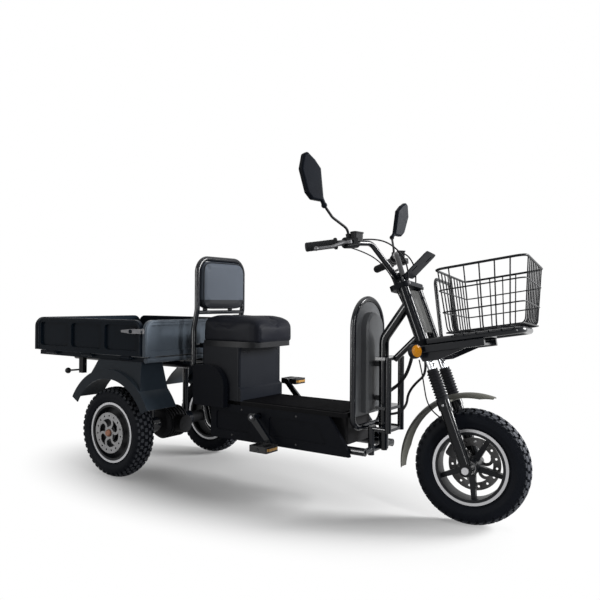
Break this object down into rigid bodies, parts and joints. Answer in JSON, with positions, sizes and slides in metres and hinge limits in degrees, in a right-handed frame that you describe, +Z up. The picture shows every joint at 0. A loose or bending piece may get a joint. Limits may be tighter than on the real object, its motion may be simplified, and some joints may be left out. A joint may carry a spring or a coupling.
{
  "type": "cargo tricycle",
  "caption": "Electric cargo tricycle with a step-through floor, sprung fork, front wire basket, folding seat with backrest and a drop-side cargo bed over the rear axle.",
  "frame": {"origin": "on the ground, at the middle of the overall length and width", "axes": "+X forward towards the front wheel, +Y to the rider's left, +Z up"},
  "size_m": [2.4951, 1.0077, 1.3667],
  "materials": {
    "frame_black": "gloss",
    "cover_black": "satin",
    "bed_grey_black": "satin",
    "wire_black": "gloss",
    "tyre_rubber": "matte",
    "rim_alloy": "satin",
    "disc_steel": "brushed",
    "axle_steel": "satin",
    "axle_case_iron": "rough",
    "fork_alloy": "satin",
    "caliper_alloy": "satin",
    "lever_alloy": "satin",
    "fender_olive": "gloss",
    "boot_rubber": "matte",
    "grip_rubber": "matte",
    "control_plastic": "satin",
    "mirror_shell": "satin",
    "floor_mat": "matte",
    "seat_vinyl": "satin",
    "pedal_plastic": "satin",
    "lamp_amber": "gloss"
  },
  "bodies": {
    "chassis": {"front_frame": "frame_black", "frame_rail_right": "frame_black", "frame_rail_left": "frame_black", "frame_crossbars": "frame_black", "rear_axle_case": "axle_case_iron", "floor_board": "floor_mat", "side_cover_right": "cover_black", "side_cover_left": "cover_black", "battery_pack": "control_plastic", "shield_hoop": "frame_black", "shield_panel": "cover_black", "seat_box": "cover_black", "backrest_hoop": "frame_black", "backrest_pad": "seat_vinyl", "bed_platform": "bed_grey_black", "bed_front_panel": "bed_grey_black", "rear_fender_right": "cover_black", "rear_fender_left": "cover_black", "rear_signals": "lamp_amber"},
    "steering": {"fork_lower_crown": "frame_black", "fork_upper_crown": "frame_black", "fork_tubes": "fork_alloy", "fork_boots": "boot_rubber", "handlebar": "frame_black", "left_grip": "grip_rubber", "bar_controls": "control_plastic", "rack": "frame_black", "basket_floor": "wire_black", "basket_right": "wire_black", "basket_left": "wire_black", "basket_front": "wire_black", "basket_back": "wire_black", "front_signals": "lamp_amber"},
    "fork_lower": {"fork_lower_legs": "fork_alloy", "front_axle": "axle_steel", "front_brake_caliper": "caliper_alloy", "front_fender": "fender_olive"},
    "front_wheel": {"front_rim": "rim_alloy", "front_tyre": "tyre_rubber", "front_brake_disc": "disc_steel"},
    "rear_right_wheel": {"rear_right_rim": "rim_alloy", "rear_right_tyre": "tyre_rubber", "rear_right_brake_disc": "disc_steel"},
    "rear_left_wheel": {"rear_left_rim": "rim_alloy", "rear_left_tyre": "tyre_rubber", "rear_left_brake_disc": "disc_steel"},
    "crankset": {"crankset": "axle_steel"},
    "right_pedal": {"right_pedal": "pedal_plastic"},
    "left_pedal": {"left_pedal": "pedal_plastic"},
    "right_brake_lever": {"right_brake_lever": "lever_alloy"},
    "left_brake_lever": {"left_brake_lever": "lever_alloy"},
    "throttle": {"throttle_grip": "grip_rubber"},
    "right_mirror": {"right_mirror": "mirror_shell"},
    "left_mirror": {"left_mirror": "mirror_shell"},
    "seat": {"seat": "seat_vinyl"},
    "bed_right_panel": {"bed_right_panel": "bed_grey_black"},
    "bed_left_panel": {"bed_left_panel": "bed_grey_black"},
    "bed_tail_panel": {"bed_tail_panel": "bed_grey_black"},
    "right_latch": {"right_latch": "axle_steel"},
    "left_latch": {"left_latch": "axle_steel"}
  },
  "joints": [
    {"name": "steer", "type": "hinge", "parent": "chassis", "child": "steering", "pos_m": [0.97175, 0, 0.20762], "axis": [-0.3608, 0, 0.9326], "range_deg": [-54.5, 35.5]},
    {"name": "fork_travel", "type": "slide", "parent": "steering", "child": "fork_lower", "axis": [-0.3608, 0, 0.9326], "range_m": [0, 0.06], "stiffness_N_per_m": 8000, "springref_m": -0.1, "deforming": ["fork_boots"]},
    {"name": "front_wheel_spin", "type": "hinge", "parent": "fork_lower", "child": "front_wheel", "pos_m": [0.99567, 0.00429, 0.21687], "axis": [-0.1539, 0.9863, -0.0596], "continuous": true},
    {"name": "rear_right_wheel_spin", "type": "hinge", "parent": "chassis", "child": "rear_right_wheel", "pos_m": [-0.614, -0.333, 0.212], "axis": [0, 1, 0], "continuous": true},
    {"name": "rear_left_wheel_spin", "type": "hinge", "parent": "chassis", "child": "rear_left_wheel", "pos_m": [-0.614, 0.333, 0.212], "axis": [0, 1, 0], "continuous": true},
    {"name": "crank_spin", "type": "hinge", "parent": "chassis", "child": "crankset", "pos_m": [0.093, 0, 0.334], "axis": [0, 1, 0], "continuous": true},
    {"name": "right_pedal_spin", "type": "hinge", "parent": "crankset", "child": "right_pedal", "pos_m": [0.197, -0.252, 0.225], "axis": [0, 1, 0], "continuous": true},
    {"name": "left_pedal_spin", "type": "hinge", "parent": "crankset", "child": "left_pedal", "pos_m": [-0.011, 0.252, 0.443], "axis": [0, 1, 0], "continuous": true},
    {"name": "right_brake_squeeze", "type": "hinge", "parent": "steering", "child": "right_brake_lever", "pos_m": [0.64966, -0.3323, 1.05313], "axis": [0.1311, 0.0699, -0.9889], "range_deg": [0, 14], "stiffness_Nm_per_rad": 4, "springref_deg": -6.88},
    {"name": "left_brake_squeeze", "type": "hinge", "parent": "steering", "child": "left_brake_lever", "pos_m": [0.54853, 0.31572, 1.014], "axis": [-0.1642, 0.1424, 0.9761], "range_deg": [0, 14], "stiffness_Nm_per_rad": 4, "springref_deg": -6.88},
    {"name": "throttle_twist", "type": "hinge", "parent": "steering", "child": "throttle", "pos_m": [0.51802, -0.4133, 1.03399], "axis": [-0.689, -0.7108, -0.1416], "range_deg": [0, 65], "stiffness_Nm_per_rad": 0.4, "springref_deg": -11.46},
    {"name": "right_mirror_turn", "type": "hinge", "parent": "steering", "child": "right_mirror", "pos_m": [0.58377, -0.4021, 1.1839], "axis": [-0.0046, 0.0596, 0.9982], "range_deg": [-25, 25]},
    {"name": "left_mirror_turn", "type": "hinge", "parent": "steering", "child": "left_mirror", "pos_m": [0.46217, 0.37707, 1.13685], "axis": [-0.0046, 0.0596, 0.9982], "range_deg": [-25, 25]},
    {"name": "seat_tilt", "type": "hinge", "parent": "chassis", "child": "seat", "pos_m": [-0.004, 0, 0.632], "axis": [0, 1, 0], "range_deg": [0, 65]},
    {"name": "right_panel_drop", "type": "hinge", "parent": "chassis", "child": "bed_right_panel", "pos_m": [-0.829, -0.345, 0.564], "axis": [1, 0, 0], "range_deg": [0, 95]},
    {"name": "left_panel_drop", "type": "hinge", "parent": "chassis", "child": "bed_left_panel", "pos_m": [-0.829, 0.345, 0.564], "axis": [-1, 0, 0], "range_deg": [0, 95]},
    {"name": "tail_panel_drop", "type": "hinge", "parent": "chassis", "child": "bed_tail_panel", "pos_m": [-1.237, 0, 0.564], "axis": [0, -1, 0], "range_deg": [0, 170]},
    {"name": "right_latch_turn", "type": "hinge", "parent": "bed_right_panel", "child": "right_latch", "pos_m": [-0.494, -0.354, 0.69], "axis": [0, -1, 0], "range_deg": [0, 50]},
    {"name": "left_latch_turn", "type": "hinge", "parent": "bed_left_panel", "child": "left_latch", "pos_m": [-0.494, 0.354, 0.69], "axis": [0, -1, 0], "range_deg": [0, 50]}
  ]
}
